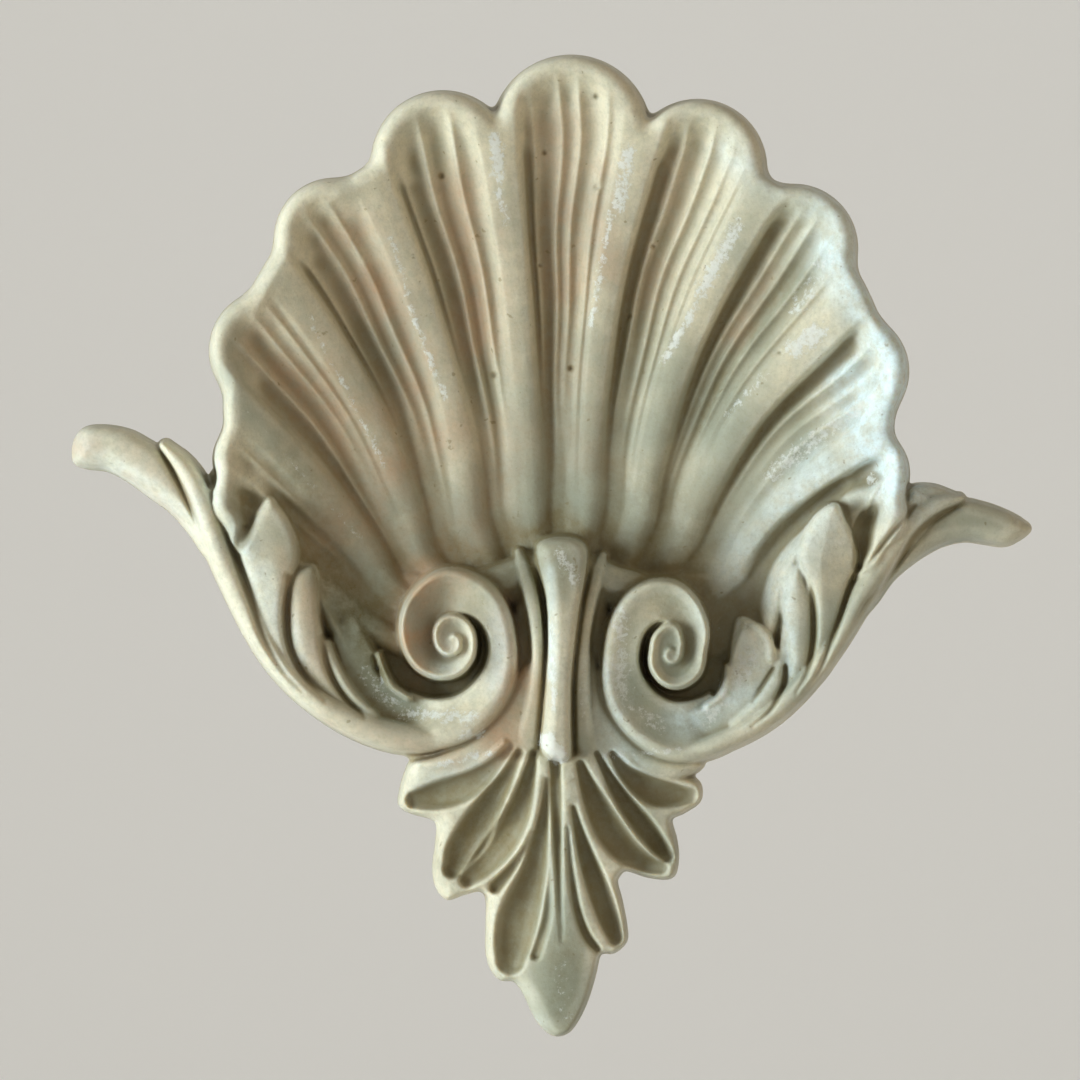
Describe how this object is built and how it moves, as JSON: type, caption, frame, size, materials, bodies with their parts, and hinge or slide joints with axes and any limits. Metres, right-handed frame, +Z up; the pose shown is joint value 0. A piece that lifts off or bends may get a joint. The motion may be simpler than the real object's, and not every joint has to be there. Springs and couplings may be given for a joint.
{
  "type": "shell furniture onlay",
  "caption": "Flat-backed cast onlay for furniture: a fluted scallop shell held by acanthus arms that curl into volutes, with a stem and a hanging palmette.",
  "frame": {"origin": "on the flat back, behind the stem between the two volutes", "axes": "+Z up towards the shell's top lobe, +X to the right seen from the front, +Y out of the flat back, so the front faces -Y"},
  "size_m": [0.1109, 0.015, 0.1135],
  "materials": {
    "ivory_resin": "ivory cast resin, slightly translucent and satin, with powdery residue on the crests and warm brown in the hollows"
  },
  "bodies": {
    "root": {"shell_onlay": "ivory_resin"}
  },
  "joints": []
}
